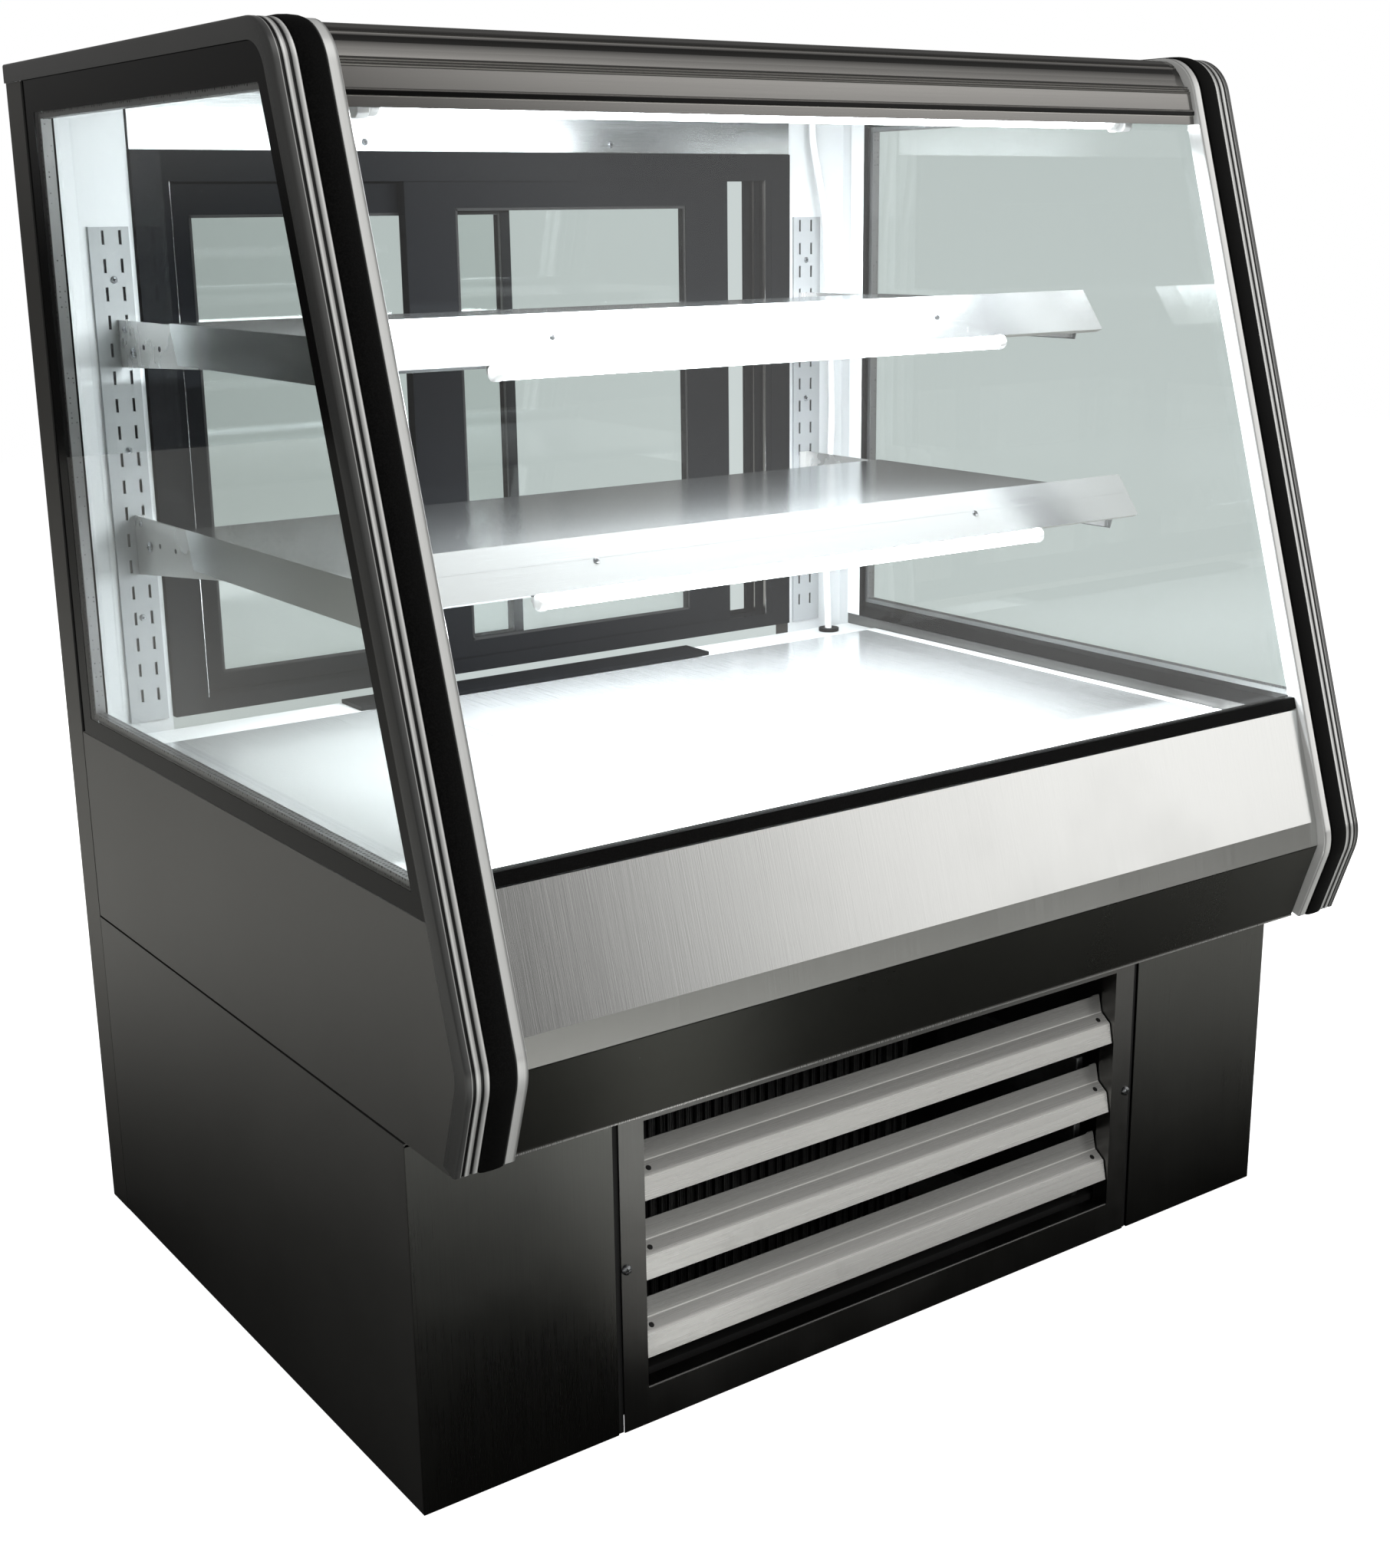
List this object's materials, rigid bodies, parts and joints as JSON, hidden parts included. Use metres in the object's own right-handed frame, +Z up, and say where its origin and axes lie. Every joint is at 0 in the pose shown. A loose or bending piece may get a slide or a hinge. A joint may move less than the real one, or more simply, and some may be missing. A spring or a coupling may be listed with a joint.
{
  "type": "refrigerated deli case",
  "caption": "Refrigerated deli display case with a slanted glass front, glass ends, lit shelves, a refrigerated deck, sliding rear doors and a louvred machine base.",
  "frame": {"origin": "centre of the bounding box, at floor level", "axes": "+Z up; the customer side, with the slanted glass and the grille, faces -Y; the operator's sliding doors face +Y; +X is the customer's right"},
  "size_m": [1.219, 1.0004, 1.397],
  "materials": {
    "graphite_panel": "satin dark grey coated steel",
    "stainless": "brushed stainless steel",
    "louver_steel": "bright cold-rolled stainless steel",
    "anodised_aluminium": "ribbed extrusion, bright anodised",
    "rail_aluminium": "ribbed extrusion, brown-grey anodised",
    "black_vinyl": "fine leather-grain black vinyl",
    "black_frame": "smooth black extrusion",
    "white_liner": "white coated steel",
    "foam_body": "white plastic liner over foam insulation",
    "clear_glass": "clear insulating glass, faint green tint",
    "lamp_tube": "white frosted tube, lit",
    "white_cable": "white flexible jacket",
    "steel_frame": "black painted steel",
    "coil_fins": "bare aluminium fins",
    "fan_blade": "stamped aluminium",
    "compressor_black": "black enamel",
    "galvanised": "galvanised steel",
    "control_plastic": "moulded black plastic",
    "switch_red": "moulded red plastic"
  },
  "bodies": {
    "case": {"base_frame": "steel_frame", "base_side_panel_left": "graphite_panel", "base_side_panel_right": "graphite_panel", "base_front_panel_left": "graphite_panel", "base_front_panel_right": "graphite_panel", "grille_frame": "stainless", "grille_louver_1": "louver_steel", "grille_louver_2": "louver_steel", "grille_louver_3": "louver_steel", "grille_screw_left": "galvanised", "grille_screw_right": "galvanised", "base_rear_panel": "graphite_panel", "control_box": "control_plastic", "power_cord_gland": "control_plastic", "compressor": "compressor_black", "condenser_coil": "coil_fins", "fan_shroud": "galvanised", "body_tub": "foam_body", "body_side_panel_left": "graphite_panel", "body_side_panel_right": "graphite_panel", "side_glass_left": "clear_glass", "side_glass_right": "clear_glass", "end_trim_left": "anodised_aluminium", "end_trim_right": "anodised_aluminium", "trim_insert_left": "black_vinyl", "trim_insert_right": "black_vinyl", "rear_post_left": "graphite_panel", "rear_post_right": "graphite_panel", "top_panel": "graphite_panel", "top_front_rail": "rail_aluminium", "front_glass": "clear_glass", "front_gasket": "black_vinyl", "front_fascia": "stainless", "front_underside_panel": "graphite_panel", "door_frame": "black_frame", "shelf_standard_left": "white_liner", "shelf_standard_right": "white_liner", "shelf_upper": "stainless", "shelf_lower": "stainless", "shelf_upper_bracket_left": "stainless", "shelf_upper_bracket_right": "stainless", "shelf_lower_bracket_left": "stainless", "shelf_lower_bracket_right": "stainless", "shelf_lamp_upper": "lamp_tube", "shelf_lamp_lower": "lamp_tube", "canopy_lamp": "lamp_tube", "lamp_cable": "white_cable", "cable_grommet": "black_vinyl", "rear_air_grille": "black_frame", "evaporator_coil": "coil_fins"},
    "right_door": {"sliding_door_right": "black_frame", "door_glass_right": "clear_glass"},
    "left_door": {"sliding_door_left": "black_frame", "door_glass_left": "clear_glass"},
    "left_deck_pan": {"deck_pan_left": "stainless"},
    "right_deck_pan": {"deck_pan_right": "stainless"},
    "condenser_rotor": {"condenser_fan": "fan_blade"},
    "evaporator_rotor": {"evaporator_fan": "fan_blade"},
    "thermostat": {"thermostat_knob": "control_plastic"},
    "lamp_switch": {"light_switch": "switch_red"}
  },
  "joints": [
    {"name": "right_door_slide", "type": "slide", "parent": "case", "child": "right_door", "axis": [1, 0, 0], "range_m": [-0.33, 0.089]},
    {"name": "left_door_slide", "type": "slide", "parent": "case", "child": "left_door", "axis": [1, 0, 0], "range_m": [0, 0.425]},
    {"name": "left_pan_lift", "type": "slide", "parent": "case", "child": "left_deck_pan", "axis": [0, 0, 1], "range_m": [0, 0.12]},
    {"name": "right_pan_lift", "type": "slide", "parent": "case", "child": "right_deck_pan", "axis": [0, 0, 1], "range_m": [0, 0.12]},
    {"name": "condenser_fan_spin", "type": "hinge", "parent": "case", "child": "condenser_rotor", "pos_m": [-0.12, -0.1248, 0.185], "axis": [0, 1, 0], "continuous": true},
    {"name": "evaporator_fan_spin", "type": "hinge", "parent": "case", "child": "evaporator_rotor", "pos_m": [0, 0.2002, 0.525], "axis": [0, 1, 0], "continuous": true},
    {"name": "thermostat_turn", "type": "hinge", "parent": "case", "child": "thermostat", "pos_m": [-0.398, 0.4795, 0.32], "axis": [0, 1, 0], "range_deg": [-150, 150]},
    {"name": "lamp_switch_rock", "type": "hinge", "parent": "case", "child": "lamp_switch", "pos_m": [-0.34, 0.4787, 0.32], "axis": [1, 0, 0], "range_deg": [-16, 0]}
  ]
}
